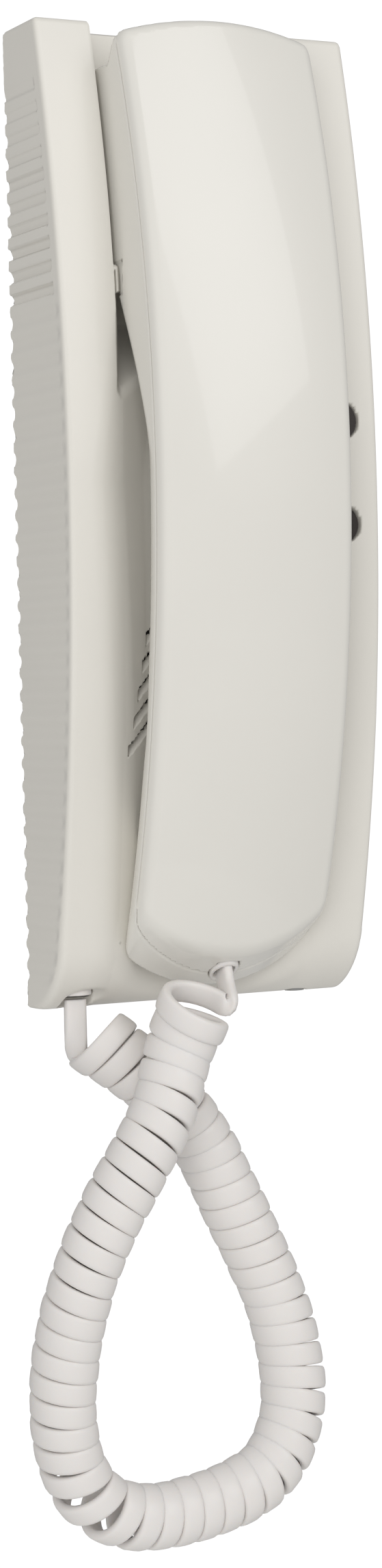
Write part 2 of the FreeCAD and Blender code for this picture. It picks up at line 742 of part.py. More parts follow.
def handset_face(name, inset):
    """The crowned front, bowed with the seam."""
    half, face = D.handset_half - inset, D.face_half - inset
    corners = [
        (-half, -2.0), (half, -2.0), (half, D.seam_depth + 0.4),
        (face, D.seam_depth + D.face_step - inset), (-face, D.seam_depth + D.face_step - inset),
        (-half, D.seam_depth + 0.4),
    ]
    crown = D.face_crown.value - D.face_step.value
    radius = (face.value ** 2 + crown ** 2) / (2 * crown)
    return revolve(name + "_face", corners, {2: 3.4 - inset * 0.2, 3: radius, 4: 3.4 - inset * 0.2},
                   D.seam_depth - D.seam_radius, D.seam_rise, sized(24.0))


def build_handset_shells():
    outer, inner = handset_form("handset_outer", 0.0), handset_form("handset_inner", D.shell_thick)
    shell = cut("handset_shell", outer, [inner])
    seam = rod("handset_seam", D.seam_radius, 80.0, -40.0, D.seam_depth - D.seam_radius, D.seam_rise, "right")
    bosses = []
    for number, (rise, depth) in enumerate(HANDSET_SCREWS):
        bosses.append(rod(f"handset_boss_{number}", 2.8, front_bow(rise) - depth, 0.0, depth, rise))
    pilots = [rod(f"handset_pilot_{number}", 1.1, 6.0, 0.0, depth - 0.5, rise)
              for number, (rise, depth) in enumerate(HANDSET_SCREWS)]
    cord_way = rod("handset_cord_way", D.ribbon_radius + 1.2, 11.0, 0.0, LEAD_DEPTH, 2.0, "up")
    front = cut("handset_front_shell",
                fuse("handset_front_solid", [cut("handset_front_skin", shell, [seam])] + bosses),
                pilots + [cord_way])
    holes = [rod(f"handset_screw_way_{number}", 1.5, 30.0, 0.0, 5.0, rise)
             for number, (rise, depth) in enumerate(HANDSET_SCREWS)]
    holes += [rod(f"handset_screw_sink_{number}", 2.9, 30.0, 0.0, back - 26.0, rise)
              for number, (rise, back) in enumerate(SCREW_SINKS)]
    holes += [rod(f"ear_hole_{number}", 1.1, 8.0, x, D.earpiece_back - 3.0, D.receiver_rise + z)
              for number, (x, z) in enumerate(ear_holes())]
    holes += [rod(f"mouth_hole_{number}", 0.9, 8.0, 3.2 * number - 3.2, D.mouth_back - 3.0,
                  D.microphone_rise) for number in range(3)]
    holes.append(cord_way)
    notches = [box(f"handset_notch_{side + 1}", (side * 23.5 - 1.2, side * 23.5 + 1.2), (6.0, 27.0),
                   (151.2, 158.0)) for side in (-1, 1)]
    back = cut("handset_back_shell", common("handset_back_skin", [shell, seam]), holes + notches)
    return [front, back]


HANDSET_SCREWS = [(48.0, 27.5), (144.0, 29.0)]
SCREW_SINKS = [(48.0, 25.0), (144.0, 26.5)]
LEAD_DEPTH = 21.5


def front_bow(rise):
    """The depth of the inside of the handset's face at a rise."""
    radius, step = SIZES["seam_radius"], SIZES["face_crown"] - SIZES["shell_thick"] / 2
    return SIZES["seam_depth"] + step - (rise - SIZES["seam_rise"]) ** 2 / (2 * radius)


def ear_holes():
    """One hole in the middle and a ring of six round it."""
    ring_radius = 4.6
    spots = [(0.0, 0.0)]
    for number in range(6):
        angle = math.radians(60 * number)
        spots.append((ring_radius * math.cos(angle), ring_radius * math.sin(angle)))
    return spots


def build_handset_parts():
    inner = D.earpiece_back + D.shell_thick
    gasket = cut("receiver_gasket", rod("gasket_disc", D.receiver_radius, 1.0, 0.0, inner, D.receiver_rise),
                 [rod("gasket_way", D.receiver_radius - 3.0, 3.0, 0.0, inner - 1.0, D.receiver_rise)])
    can = rod("receiver_can", D.receiver_radius - 0.4, 6.0, 0.0, inner + 1.0, D.receiver_rise)
    magnet = rod("receiver_magnet", 8.0, 3.4, 0.0, inner + 6.9, D.receiver_rise)
    mouth = D.mouth_back + D.shell_thick
    boot = cut("microphone_boot",
               rod("boot_solid", D.microphone_radius + 1.6, 6.0, 0.0, mouth, D.microphone_rise),
               [rod("boot_pocket", D.microphone_radius, 6.0, 0.0, mouth + 1.5, D.microphone_rise)])
    capsule = rod("microphone_capsule", D.microphone_radius, 5.4, 0.0, mouth + 1.5, D.microphone_rise)
    weight = box("balance_weight", (-12.0, 12.0), (35.0, 39.0), (88.0, 134.0))
    screws = []
    for number, (rise, depth) in enumerate(HANDSET_SCREWS):
        head = rod(f"handset_screw_head_{number}", 2.5, 1.5, 0.0, depth - 1.6, rise)
        shank = rod(f"handset_screw_shank_{number}", 1.05, 5.4, 0.0, depth - 0.2, rise)
        cross = box(f"handset_screw_slot_{number}", (-3.0, 3.0), (depth - 2.0, depth - 0.9),
                    (rise - 0.4, rise + 0.4))
        screws.append(cut(f"handset_screw_{number}", fuse(f"handset_screw_solid_{number}", [head, shank]),
                          [cross]))
    collar = rod("handset_grommet_collar", D.ribbon_radius + 1.35, 1.2, 0.0, LEAD_DEPTH, 13.4, "up")
    sleeve = rod("handset_grommet_sleeve", D.ribbon_radius + 1.1, 7.4, 0.0, LEAD_DEPTH, 6.6, "up")
    return [
        gasket,
        fuse("receiver_capsule", [can, magnet]),
        boot,
        capsule,
        weight,
        group("handset_screws", screws),
        fuse("handset_cord_grommet", [collar, sleeve]),
    ]


# ---------------------------------------------------------------------------------------------
# Cord and wires
# ---------------------------------------------------------------------------------------------

def point(x, depth, rise):
    return Vector(x, -depth, rise - SIZES["base_height"] / 2)


def tube(name, stops, radius):
    """A round tube along straight runs joined by tangent arcs as large as the runs allow."""
    edges = []
    start = stops[0]
    radii = []
    for before, corner, after in zip(stops, stops[1:], stops[2:]):
        back, ahead = before - corner, after - corner
        half_turn = (math.pi - back.getAngle(ahead)) / 2
        reach = 0.45 * min(back.Length, ahead.Length)
        radii.append(reach / math.tan(half_turn))
        near = corner + back.normalize() * reach
        far = corner + ahead.normalize() * reach
        to_middle = (near + far) * 0.5 - corner
        crest = radii[-1] / math.cos(half_turn) - radii[-1]
        middle = corner + to_middle.normalize() * crest
        edges.append(Part.LineSegment(start, near).toShape())
        edges.append(Part.Arc(near, middle, far).toShape())
        start = far
    edges.append(Part.LineSegment(start, stops[-1]).toShape())
    spine = Part.Wire(edges)
    circle = Part.Circle(stops[0], stops[1] - stops[0], radius)
    solid = spine.makePipeShell([Part.Wire([circle.toShape()])], True, False)
    expected = math.pi * radius ** 2 * spine.Length
    print(f"{name}: length {spine.Length:.1f}, volume over section x length {solid.Volume / expected:.4f},"
          f" radii {', '.join(f'{size:.1f}' for size in radii)}")
    item = doc.addObject("Part::Feature", name)
    item.Shape = solid
    item.Placement = Placement()
    return item


# The curly cord's axis: out of the handset's chin, down and left, round the hanging loop, up behind
# its own first strand and back to the base's lower left corner.
COIL_ROUTE = [
    point(-6.6, 22.4, 2.6), point(-10, 24, -1.8), point(-14, 26, -10), point(-18, 28, -20.5),
    point(-24, 28, -30), point(-31, 26, -42), point(-36, 24, -54), point(-39, 21, -68),
    point(-40, 19.5, -81), point(-39, 18.5, -91), point(-36, 18, -100), point(-29.5, 18, -107),
    point(-20, 18, -110), point(-9, 18, -109.5), point(2, 18, -107.5), point(10.5, 18, -103.5),
    point(16, 17, -95.5), point(18, 16, -85.5), point(16, 14, -69.5), point(10.5, 13, -56),
    point(4, 11.5, -41.5), point(-1, 10, -30.5), point(-8, 9.5, -22), point(-15.5, 9.5, -14.5),
    point(-22.5, 9.5, -8.5),
]


def build_cords():
    lead = [point(-29.5, 8.4, 0.9), point(-29.4, 8.5, -3), point(-28.9, 8.9, -7), point(-27.4, 9.3, -10)]
    tail = [point(-29.5, 8.4, 11), point(-28.8, 7.6, 18), point(-23, 5.5, 24.5), point(-15.4, 4.6, 27.6)]
    receiver = [point(2.4, 22, 15.6), point(7, 23.5, 17.2), point(10.5, 26, 23), point(12, 31, 38),
                point(14, 35.5, 60), point(15, 37.5, 84), point(15, 38, 112), point(14.4, 35.8, 132),
                point(13, 30, 148), point(12, 21.8, 160), point(10.6, 19.2, 167)]
    microphone = [point(-2, 22, 15.6), point(-4.6, 25.0, 15.8), point(-5, 27, 18), point(-3.4, 25.8, 22)]
    speaker = [point(-8.4, 5.4, 70), point(-17, 5.2, 72), point(-22, 5.6, 78), point(-23.5, 7.4, 84.5),
               point(-23.5, 7.6, 90)]
    return [
        tube("curly_cord", COIL_ROUTE, SIZES["coil_radius"]),
        tube("base_cord_lead", lead, SIZES["ribbon_radius"]),
        tube("base_cord_tail", tail, 1.2),
        tube("receiver_leads", receiver, 0.9),
        tube("microphone_leads", microphone, 0.7),
        tube("speaker_leads", speaker, 0.7),
    ]


# ---------------------------------------------------------------------------------------------
# Assembly, checks and files
# ---------------------------------------------------------------------------------------------

nodes = [build_base_cover(), build_wall_plate(), build_cover_screw(), build_board()]
nodes += build_board_parts() + build_terminals() + build_speaker() + build_hook_switch()
nodes += [build_button(name, rise) for name, rise in BUTTONS]
nodes += [build_base_grommet()] + build_handset_shells() + build_handset_parts() + build_cords()
doc.recompute()

for item in doc.Objects:
    if "Invalid" in item.State or "Error" in item.State:
        raise RuntimeError(f"{item.Name} failed: {item.State}")

os.makedirs("parts", exist_ok=True)
for node in nodes:
    node.Label = node.Name
    if node.Shape.isNull() or not node.Shape.isValid() or node.Shape.Volume <= 0:
        raise RuntimeError(f"{node.Name} has no valid shape")
for node in nodes:
    node.Shape.exportStep(f"parts/{node.Label}.step")
    print(f"{node.Label}: {len(node.Shape.Solids)} solid(s), {node.Shape.Volume / 1000:.2f} cm3")
print(f"{len(nodes)} nodes")
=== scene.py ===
import json
import math

import bpy
import numpy as np
from mathutils import Matrix, Vector


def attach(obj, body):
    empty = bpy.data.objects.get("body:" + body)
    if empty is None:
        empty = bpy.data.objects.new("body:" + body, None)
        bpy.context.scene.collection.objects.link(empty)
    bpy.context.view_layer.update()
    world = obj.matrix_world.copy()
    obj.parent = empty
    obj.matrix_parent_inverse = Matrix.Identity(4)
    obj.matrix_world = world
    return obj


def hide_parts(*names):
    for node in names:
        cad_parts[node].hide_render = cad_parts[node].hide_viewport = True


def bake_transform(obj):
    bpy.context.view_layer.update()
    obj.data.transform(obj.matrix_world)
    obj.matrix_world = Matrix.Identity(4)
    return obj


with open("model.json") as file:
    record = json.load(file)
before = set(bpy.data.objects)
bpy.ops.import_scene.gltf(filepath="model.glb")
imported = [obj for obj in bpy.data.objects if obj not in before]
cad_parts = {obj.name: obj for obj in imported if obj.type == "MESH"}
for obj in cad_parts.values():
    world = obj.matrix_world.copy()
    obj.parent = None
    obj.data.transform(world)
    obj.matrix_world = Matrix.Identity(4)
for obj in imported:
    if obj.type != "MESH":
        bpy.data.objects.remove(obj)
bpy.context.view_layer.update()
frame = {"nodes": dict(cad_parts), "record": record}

MM = 0.001
MID = 105.0  # rise of the frame's origin above the foot of the base
CLOUD_SCALE = 35.0  # how fine the faint tint clouds are
SPECKLE_SCALE = 900.0


def spot(x, depth, rise):
    """A point of the row frame, in metres."""
    return Vector((x, -depth, rise - MID)) * MM


# ---------------------------------------------------------------------------------------------
# Materials
# ---------------------------------------------------------------------------------------------

def material(name, colour, roughness, bump=0.0, bump_size=400.0, tint=0.02, metallic=0.0, coat=0.0,
             speckle=0.0, scatter=0.0):
    """Moulded plastic, metal or rubber: cloudy tint, fine moulded texture, uneven gloss."""
    made = bpy.data.materials.new(name)
    made.use_nodes = True
    nodes, links = made.node_tree.nodes, made.node_tree.links
    shader = nodes["Principled BSDF"]
    shader.inputs["Metallic"].default_value = metallic
    shader.inputs["Coat Weight"].default_value = coat
    shader.inputs["Coat Roughness"].default_value = 0.05
    if scatter:
        shader.inputs["Subsurface Weight"].default_value = scatter
        shader.inputs["Subsurface Radius"].default_value = (0.002, 0.0016, 0.0012)
        shader.inputs["Subsurface Scale"].default_value = 0.5
    place = nodes.new("ShaderNodeTexCoord")
    clouds = nodes.new("ShaderNodeTexNoise")
    clouds.inputs["Scale"].default_value = CLOUD_SCALE
    clouds.inputs["Detail"].default_value = 4.0
    links.new(place.outputs["Object"], clouds.inputs["Vector"])
    ramp = nodes.new("ShaderNodeValToRGB")
    dark = [max(0.0, part * (1 - tint)) for part in colour]
    light = [min(1.0, part * (1 + tint * 0.6)) for part in colour]
    ramp.color_ramp.interpolation = "EASE"
    ramp.color_ramp.elements[0].position = 0.15
    ramp.color_ramp.elements[0].color = (*dark, 1)
    ramp.color_ramp.elements[1].position = 0.85
    ramp.color_ramp.elements[1].color = (*light, 1)
    links.new(clouds.outputs["Fac"], ramp.inputs["Fac"])
    colour_out = ramp.outputs["Color"]
    if speckle:
        dots = nodes.new("ShaderNodeTexNoise")
        dots.inputs["Scale"].default_value = SPECKLE_SCALE
        links.new(place.outputs["Object"], dots.inputs["Vector"])
        mix = nodes.new("ShaderNodeMix")
        mix.data_type = "RGBA"
        mix.blend_type = "OVERLAY"
        mix.inputs[0].default_value = speckle
        links.new(colour_out, mix.inputs[6])
        links.new(dots.outputs["Color"], mix.inputs[7])
        colour_out = mix.outputs[2]
    links.new(colour_out, shader.inputs["Base Color"])
    gloss = nodes.new("ShaderNodeMapRange")
    gloss.inputs["To Min"].default_value = max(0.03, roughness - 0.03)
    gloss.inputs["To Max"].default_value = min(1.0, roughness + 0.03)
    links.new(clouds.outputs["Fac"], gloss.inputs["Value"])
    links.new(gloss.outputs["Result"], shader.inputs["Roughness"])
    if bump:
        grain = nodes.new("ShaderNodeTexNoise")
        grain.inputs["Scale"].default_value = bump_size
        grain.inputs["Detail"].default_value = 3.0
        links.new(place.outputs["Object"], grain.inputs["Vector"])
        relief = nodes.new("ShaderNodeBump")
        relief.inputs["Strength"].default_value = bump
        relief.inputs["Distance"].default_value = 0.0001
        links.new(grain.outputs["Fac"], relief.inputs["Height"])
        links.new(relief.outputs["Normal"], shader.inputs["Normal"])
    return made


FINISH = {
    "base_white": material("base_white", (0.80, 0.775, 0.715), 0.36, 0.10, 1500.0, 0.015, coat=0.15),
    "handset_white": material("handset_white", (0.80, 0.78, 0.725), 0.26, 0.03, 1200.0, 0.012, coat=0.5),
    "cord_white": material("cord_white", (0.84, 0.81, 0.785), 0.38, 0.08, 1800.0, 0.012, scatter=0.15),
    "plate_grey": material("plate_grey", (0.50, 0.50, 0.48), 0.55, 0.30, 900.0, 0.05),
    "button_brown": material("button_brown", (0.022, 0.015, 0.012), 0.30, 0.10, 900.0, 0.15),
    "black_plastic": material("black_plastic", (0.02, 0.02, 0.02), 0.45, 0.2, 900.0, 0.10),
    "board_green": material("board_green", (0.07, 0.20, 0.06), 0.35, 0.2, 500.0, 0.12,
                            coat=0.4, speckle=0.2),
    "can_aluminium": material("can_aluminium", (0.72, 0.72, 0.73), 0.30, 0.1, 700.0, 0.05, metallic=1.0),
    "screw_steel": material("screw_steel", (0.56, 0.56, 0.55), 0.28, 0.2, 900.0, 0.08, metallic=1.0),
    "speaker_steel": material("speaker_steel", (0.42, 0.42, 0.42), 0.38, 0.2, 700.0, 0.08, metallic=1.0),
    "speaker_paper": material("speaker_paper", (0.03, 0.03, 0.032), 0.85, 0.6, 600.0, 0.15),
    "brass": material("brass", (0.62, 0.46, 0.20), 0.28, 0.1, 900.0, 0.08, metallic=1.0),
    "grey_rubber": material("grey_rubber", (0.12, 0.12, 0.12), 0.70, 0.3, 900.0, 0.08),
    "weight_iron": material("weight_iron", (0.22, 0.22, 0.22), 0.60, 0.6, 500.0, 0.2, metallic=0.8),
    "wire_red": material("wire_red", (0.42, 0.03, 0.02), 0.42, 0.1, 900.0, 0.08),
}

SLOTS = {row["node"]: row["material_slot"] for row in frame["record"]["subparts"]}
for node, thing in frame["nodes"].items():
    thing.data.materials.clear()
    thing.data.materials.append(FINISH[SLOTS[node]])


# ---------------------------------------------------------------------------------------------
# Solids from distance fields: a field is negative inside the plastic and in millimetres
# ---------------------------------------------------------------------------------------------

def meet(a, b, radius=None):
    """Inside both, with a rounded outer edge."""
    if radius is None:
        return np.maximum(a, b)
    grown = np.hypot(np.maximum(a + radius, 0), np.maximum(b + radius, 0))
    return np.minimum(np.maximum(a, b), -radius) + grown


def join(a, b, radius=None):
    """Inside either, with a rounded inner corner."""
    return -meet(-a, -b, radius)


def less(a, b, radius=None):
    """Inside a and outside b."""
    return meet(a, -b, radius)


def slope(depth, rise, through, along):
    """Distance to the left of a line in the side view (seen with depth to the right, rise up)."""
    run = math.hypot(*along)
    return ((rise - through[1]) * along[0] - (depth - through[0]) * along[1]) / run


def bow(depth, rise, centre_rise, front, radius):
    """Distance in front of a large cylinder whose deepest point is front, at centre_rise."""
    return np.hypot(depth - (front - radius), rise - centre_rise) - radius


def unbend(ahead, rise, centre_rise, front, radius):
    """The depth of a point that far in front of a large bowed cylinder."""
    return front - radius + np.sqrt((ahead + radius) ** 2 - (rise - centre_rise) ** 2)


def ruled(low, high, step, fine=(), fine_step=None):
    """Grid lines along one axis, closer together inside the fine stretches."""
    lines = [low]
    while lines[-1] < high:
        inside = any(a <= lines[-1] < b for a, b in fine)
        lines.append(lines[-1] + (fine_step if inside else step))
    return np.array(lines)


def edge_ends(values, axis):
    """The values at the near and far ends of every grid edge along one axis."""
    near = [slice(None)] * 3
    near[axis] = slice(None, -1)
    far = [slice(None)] * 3
    far[axis] = slice(1, None)
    return values[tuple(near)], values[tuple(far)]


def crossings(value):
    """For each grid cell, the sum of the places where its edges cross the surface, and their number."""
    cell = np.array(value.shape) - 1
    total = np.zeros((*cell, 3))
    hits = np.zeros(cell)
    for axis in range(3):
        a, b = edge_ends(value, axis)
        crossing = (a < 0) != (b < 0)
        share = np.where(crossing, a / np.where(crossing, a - b, 1.0), 0.0)
        first, second = [i for i in range(3) if i != axis]
        for u in (0, 1):
            for v in (0, 1):
                part = [slice(None)] * 3
                part[first] = slice(u, u + cell[first])
                part[second] = slice(v, v + cell[second])
                cut_here = crossing[tuple(part)]
                total[..., axis] += np.where(cut_here, share[tuple(part)], 0)
                total[..., first] += cut_here * u
                total[..., second] += cut_here * v
                hits += cut_here
    return total, hits


def net_quads(sign, number):
    """A face round every inner grid edge that crosses the surface, joining the points of its four cells."""
    quads = []
    for axis in range(3):
        u, v = [i for i in range(3) if i != axis]
        inner = [slice(1, -1)] * 3
        inner[axis] = slice(None)
        a, b = edge_ends(sign[tuple(inner)], axis)
        where = np.argwhere(a != b)
        solid_first = a[a != b]
        where[:, u] += 1
        where[:, v] += 1
        ring = []
        for du, dv in ((-1, -1), (0, -1), (0, 0), (-1, 0)):
            at = where.copy()
            at[:, u] += du
            at[:, v] += dv
            ring.append(number[tuple(at.T)])
        ring = np.stack(ring, 1)
        flip = solid_first if axis != 1 else ~solid_first
        ring[~flip] = ring[~flip][:, ::-1]
        quads.append(ring)
    return np.concatenate(quads)


def skin_mesh(field, axes, bend):
    """Surface net of a field over a box bowed like the phone, its points drawn onto the surface.

    The net's second axis counts from a bowed face, so the long edges beside that face come out straight.
    """
    x, ahead, z = np.meshgrid(*axes, indexing="ij")
    value = field(x, unbend(ahead, z, *bend), z)
    total, hits = crossings(value)
    active = hits > 0
    number = -np.ones(hits.shape, int)
    number[active] = np.arange(active.sum())
    corner = np.argwhere(active)
    inside = total[active] / hits[active][:, None]
    gaps = [np.diff(lines) for lines in axes]
    step = np.stack([gaps[i][corner[:, i]] for i in range(3)], 1)
    points = np.stack([axes[i][corner[:, i]] for i in range(3)], 1) + step * inside
    points[:, 1] = unbend(points[:, 1], points[:, 2], *bend)
    points = settle(field, points, step)
    return points, net_quads(value < 0, number)


def gradient(field, points):
    """The way the field grows fastest at each point."""
    small = 0.02
    parts = []
    for axis in range(3):
        shift = np.zeros(3)
        shift[axis] = small
        parts.append((field(*(points + shift).T) - field(*(points - shift).T)) / (2 * small))
    return np.stack(parts, 1)


def settle(field, points, step):
    """Draw points onto the surface without leaving their own cells by much."""
    start = points.copy()
    for _ in range(4):
        slope_there = gradient(field, points)
        size = np.maximum((slope_there ** 2).sum(1), 0.2)
        points = points - (field(*points.T) / size)[:, None] * slope_there
        points = start + np.clip(points - start, -step * 0.75, step * 0.75)
    return points


def solid(name, field, axes, bend, body, slot, replaced):
    """A visible piece made from a field, standing for its CAD nodes."""
    points, quads = skin_mesh(field, axes, bend)
    normals = gradient(field, points)
    normals /= np.maximum(np.linalg.norm(normals, axis=1), 1e-6)[:, None]
    placed = np.stack([points[:, 0], -points[:, 1], points[:, 2] - MID], 1) * MM
    mesh = bpy.data.meshes.new(name)
    mesh.from_pydata(placed.tolist(), [], quads[:, ::-1].tolist())
    mesh.polygons.foreach_set("use_smooth", [True] * len(quads))
    mesh.update()
    turned = np.stack([normals[:, 0], -normals[:, 1], normals[:, 2]], 1)
    mesh.normals_split_custom_set_from_vertices(turned.tolist())
    mesh.materials.append(FINISH[slot])
    piece = bpy.data.objects.new(name, mesh)
    bpy.context.scene.collection.objects.link(piece)
    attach(piece, body)
    if replaced:
        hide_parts(*replaced)


# ---------------------------------------------------------------------------------------------
# Base cover
# ---------------------------------------------------------------------------------------------

BASE_BOW = (108.0, 28.9, 430.0)  # rise of the deepest line, its depth, radius
BASE_HALF = 37.0  # half the width
BASE_TOP = 210.0
BASE_WALL = 2.2
BUTTON_SPOTS = ((28.3, 125.4), (28.3, 103.0))
BUTTON_HOLE = 4.1  # radii
BUTTON_GUIDE = 5.4
RIB_PITCH = 4.85
RIB_TOP = 199.0
RIB_FULL = 150.0  # the recesses above this rise give way to corrugation
SLOTS_EACH_SIDE = 5
SLOT_FOOT = 55.0
SLOT_PITCH = 5.95
SLOT_REACH = 22.4
SLOT_CLIMB = 0.84
CURL_SPOT = (-0.9, 18.4)  # depth and rise of the middle of the curl at the foot
CURL_RADIUS = 20.0
BASE_CORD = (-29.5, 8.4)  # across and depth of the cord's way out
COVER_SCREW = (26.0, 4.8)


def base_front(depth, rise):
    """Distance in front of the base's bowed face and the curl at its foot."""
    face = bow(depth, rise, *BASE_BOW)
    curl = np.hypot(depth - CURL_SPOT[0], rise - CURL_SPOT[1]) - CURL_RADIUS
    under = rise - CURL_SPOT[1] < -0.224 * (depth - CURL_SPOT[0])
    return np.where(under, curl, face)


def rib_depth(depth, rise):
    """How far the side is let in: square-ended recesses above, soft corrugation below."""
    ahead = -base_front(depth, rise)
    phase = (RIB_FULL - rise) / RIB_PITCH
    wave = 0.5 - 0.5 * np.cos(2 * np.pi * phase)
    deep = np.clip((RIB_TOP - rise) / (RIB_TOP - RIB_FULL), 0, 1)
    # each recess is deepest at its foot, so that its floor looks down a little
    drop = 0.5 + (phase - np.floor(phase))
    flat_cut = np.clip((wave - 0.45) * 4.0, 0, 1) * drop * (0.16 + 0.95 * deep) * (rise < RIB_TOP)
    end = np.clip((ahead - 3.6) / 0.5, 0, 1)
    upper = flat_cut * end
    fade = np.clip((ahead - 1.0) / 3.0, 0, 1)
    lower = wave * 0.5 * fade * fade * (3 - 2 * fade)
    share = np.clip((rise - RIB_FULL + 1.0) / 4.0, 0, 1)
    foot = np.clip((rise - 4.0) / 4.0, 0, 1)
    return (upper * share + lower * (1 - share)) * foot


def recess_air(x, depth, rise):
    """The space the earpiece hangs in, with its sloping foot."""
    ramp = -((depth - 5.0) * 0.6 + (rise - 147.0) * 0.8)
    return meet(meet(np.abs(x) - 24.0, 5.0 - depth, 1.0), ramp, 1.0)


def narrowing(rise):
    """0 along the grip, rising to 1 where the valley meets the recess."""
    return np.clip((rise - 112.0) / 34.0, 0, 1)


def trough_air(x, depth, rise):
    """The valley behind the grip: a flat floor and gentle sides, closer together at the recess."""
    floor = -bow(depth, rise, 95.0, 19.2, 430.0)
    side = (np.abs(x) - 12.5 + 4.6 * narrowing(rise)) * 0.55 + floor * 0.835
    return meet(meet(floor, side, 3.0), rise - 147.5, 0.5)


def louvres(x, depth, rise, within):
    """Sloping slots either side of the middle, each climbing inwards behind the surface."""
    side_x = np.abs(x)
    cuts = None
    for number in range(SLOTS_EACH_SIDE):
        reach = SLOT_REACH - 1.4 * number
        foot = SLOT_FOOT + SLOT_PITCH * number
        line = foot + (reach - side_x) * SLOT_CLIMB + np.maximum(within, 0) * 0.9
        slot = np.maximum(np.abs(rise - line) * 0.66 - 0.74, side_x - reach)
        slot = np.maximum(slot, np.maximum(9.8 - side_x, within - 3.5))
        cuts = slot if cuts is None else np.minimum(cuts, slot)
    return cuts


def base_field(x, depth, rise):
    """The base cover: a hollow ribbed box with its recess, valley, slots and button guides."""
    side_x = np.abs(x)
    front = base_front(depth, rise)
    side = side_x - BASE_HALF + rib_depth(depth, rise)
    corner = 1.0 + 1.0 * np.clip((60.0 - rise) / 55.0, 0, 1)
    smooth_side = side_x - BASE_HALF
    # the inner half of each cheek leans in a little from a soft fold
    lean = np.clip((29.5 - side_x) / 6.0, 0, 1) * np.clip((175.0 - rise) / 30.0, 0, 1)
    front = front + 0.5 * lean * lean
    corner_side = np.maximum(side, meet(front, smooth_side, corner))
    outer = meet(corner_side, rise - BASE_TOP, 1.2)
    outer = meet(outer, front, 0.4)
    outer = meet(outer, -rise, 0.7)
    air = recess_air(x, depth, rise)
    valley = trough_air(x, depth, rise)
    shape = less(outer, air, 0.3)
    shape = less(shape, valley, 2.6 - 1.9 * narrowing(rise))
    hollow = np.maximum(meet(front, smooth_side, 2.0), np.maximum(rise - BASE_TOP, -rise)) + BASE_WALL
    hollow = np.maximum(hollow, np.maximum(2.0 - air, 2.0 - valley))
    shape = np.maximum(shape, -hollow)
    shape = np.maximum(shape, -depth)
    # button guides
    for x0, rise0 in BUTTON_SPOTS:
        away = np.hypot(x - x0, rise - rise0)
        guide = np.maximum(np.maximum(away - BUTTON_GUIDE, 20.0 - depth), front + 1.0)
        shape = np.minimum(shape, guide)
        shape = less(shape, np.maximum(away - BUTTON_HOLE, 15.0 - depth), 0.25)
    # nibs on the channel's walls
    nib = np.maximum(np.maximum(22.8 - side_x, side_x - 26.0), np.abs(rise - 154.5) - 2.9)
    nib = np.maximum(nib, np.maximum(4.0 - depth, depth - 25.8))
    shape = np.minimum(shape, meet(nib, front + 0.4, 0.3))
    # louvres, hook window, cord scoop and screw
    shape = less(shape, louvres(x, depth, rise, valley), 0.12)
    window = np.maximum(np.maximum(side_x - 4.3, np.abs(rise - 138.5) - 6.0), 8.0 - depth)
    shape = less(shape, window, 0.3)
    way = np.maximum(np.hypot(x - BASE_CORD[0], depth - BASE_CORD[1]) - 3.7, rise - 6.0)
    shape = less(shape, way, 0.3)
    scoop = np.sqrt(((x + 27.8) / 8.2) ** 2 + ((depth - 12.5) / 4.6) ** 2 + ((rise + 1.2) / 5.6) ** 2)
    shape = less(shape, (scoop - 1.0) * 4.0, 0.5)
    from_screw = np.hypot(x - COVER_SCREW[0], depth - COVER_SCREW[1])
    screw_head = np.maximum(from_screw - 2.6, rise - 1.2)
    screw_shaft = from_screw - 1.5 + 5.0 * (rise > 4)
    return less(shape, np.minimum(screw_head, screw_shaft), 0.2)


# ---------------------------------------------------------------------------------------------
# Handset
# ---------------------------------------------------------------------------------------------

SEAM_BOW = (114.0, 40.5, 295.0)  # rise of the deepest line, its depth, radius
SEAM_GAP = 0.09  # each shell stops this far from the seam
HANDSET_HALF = 23.5
HANDSET_WALL = 2.0
HANDSET_CORD = 21.5  # depth of the cord's way in
CHIN_COS, CHIN_SIN = math.cos(math.radians(33.0)), math.sin(math.radians(33.0))
CHIN_RADIUS = 38.5
EAR_RISE = 178.0


def chin(x, depth, rise):
    """Below the handset's rounded lower end, which looks down and out."""
    height = rise * CHIN_COS - depth * CHIN_SIN + 5.525
    round_end = np.hypot(x, height - CHIN_RADIUS) - CHIN_RADIUS
    return np.where(height > CHIN_RADIUS, np.abs(x) - CHIN_RADIUS, round_end)


def handset_all(x, depth, rise):
    """The whole handset, filled: crowned front, bowed back with its ear, grip and mouth."""
    side_x = np.abs(x)
    ahead = bow(depth, rise, *SEAM_BOW)
    crown = ahead - 5.3 + 2.3 * (x / 20.8) ** 2
    side = side_x - HANDSET_HALF
    face = meet(crown, side, 3.0)
    top = np.hypot(x, np.maximum(rise - 129.0, 0)) - 80.0
    shape = meet(face, meet(top, side, 2.6), 1.6)
    shape = meet(shape, meet(chin(x, depth, rise), side, 3.0), 1.3)
    ear = meet(9.0 - depth, slope(depth, rise, (9.0, 152.0), (-20.0, 12.0)), 2.5)
    mouth = meet(15.5 - depth, slope(depth, rise, (15.5, 34.0), (12.5, 14.0)), 2.5)
    grip = 32.2 - depth
    back = join(join(ear, grip, 14.0), mouth, 8.0)
    shelf = np.minimum(rise - 200.0, slope(depth, rise, (22.0, 200.0), (5.0, 8.0)))
    back = meet(back, shelf, 0.8)
    bevel = side * 0.877 - (ahead + 1.4) * 0.48
    shoulder = -((depth - 36.2) * 0.878 + (rise - 130.0) * 0.478)
    bevel = join(bevel, shoulder, 6.0)
    back = meet(back, bevel, 2.0)
    return meet(shape, back, 1.0)


